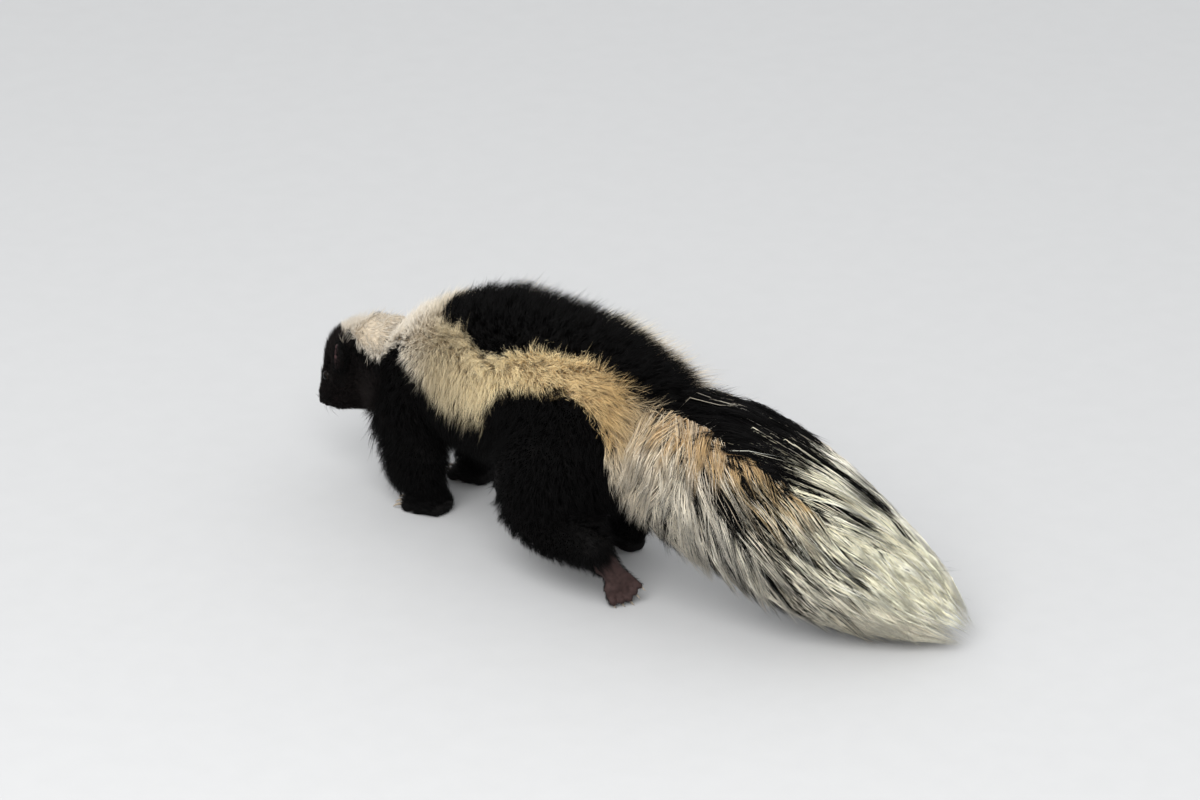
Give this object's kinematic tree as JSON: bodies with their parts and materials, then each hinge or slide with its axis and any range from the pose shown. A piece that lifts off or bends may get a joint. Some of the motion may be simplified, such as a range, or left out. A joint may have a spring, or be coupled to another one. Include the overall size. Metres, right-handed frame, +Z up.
{
  "type": "striped skunk model",
  "caption": "Still life-size model of a striped skunk walking with its head low, back arched and bushy tail trailing on the floor.",
  "frame": {"origin": "middle of the whole length and width, on the floor", "axes": "+Z up; -Y the way the animal walks; +X the animal's own left side"},
  "size_m": [0.2181, 0.5853, 0.204],
  "materials": {
    "black_coat": "dense dull black fur with a slight gloss on the longer guard hairs",
    "white_coat": "cream white fur, yellower at the tips, with dark hairs among it on the tail",
    "bare_skin": "dark brownish pink bare skin of the soles, creased and slightly moist",
    "nose_skin": "black moist skin with fine pits",
    "eye": "wet black brown with a clear highlight",
    "claw": "dark brown horn, paler and worn towards the tip"
  },
  "bodies": {
    "root": {"chest": "black_coat", "claw_fore_left_1": "claw", "claw_fore_left_2": "claw", "claw_fore_left_3": "claw", "claw_fore_left_4": "claw", "claw_fore_left_5": "claw", "claw_fore_right_1": "claw", "claw_fore_right_2": "claw", "claw_fore_right_3": "claw", "claw_fore_right_4": "claw", "claw_fore_right_5": "claw", "claw_hind_left_1": "claw", "claw_hind_left_2": "claw", "claw_hind_left_3": "claw", "claw_hind_left_4": "claw", "claw_hind_left_5": "claw", "claw_hind_right_1": "claw", "claw_hind_right_2": "claw", "claw_hind_right_3": "claw", "claw_hind_right_4": "claw", "claw_hind_right_5": "claw", "ear_left": "black_coat", "ear_right": "black_coat", "eye_left": "eye", "eye_right": "eye", "head": "black_coat", "leg_fore_left_lower": "black_coat", "leg_fore_left_upper": "black_coat", "leg_fore_right_lower": "black_coat", "leg_fore_right_upper": "black_coat", "leg_hind_left_lower": "black_coat", "leg_hind_left_upper": "black_coat", "leg_hind_right_lower": "black_coat", "leg_hind_right_upper": "black_coat", "loin": "black_coat", "neck": "white_coat", "nose": "nose_skin", "paw_fore_left": "bare_skin", "paw_fore_right": "bare_skin", "paw_hind_left": "bare_skin", "paw_hind_right": "bare_skin", "rump": "black_coat", "tail_base": "white_coat", "tail_middle": "white_coat", "tail_tip": "white_coat"}
  },
  "joints": []
}
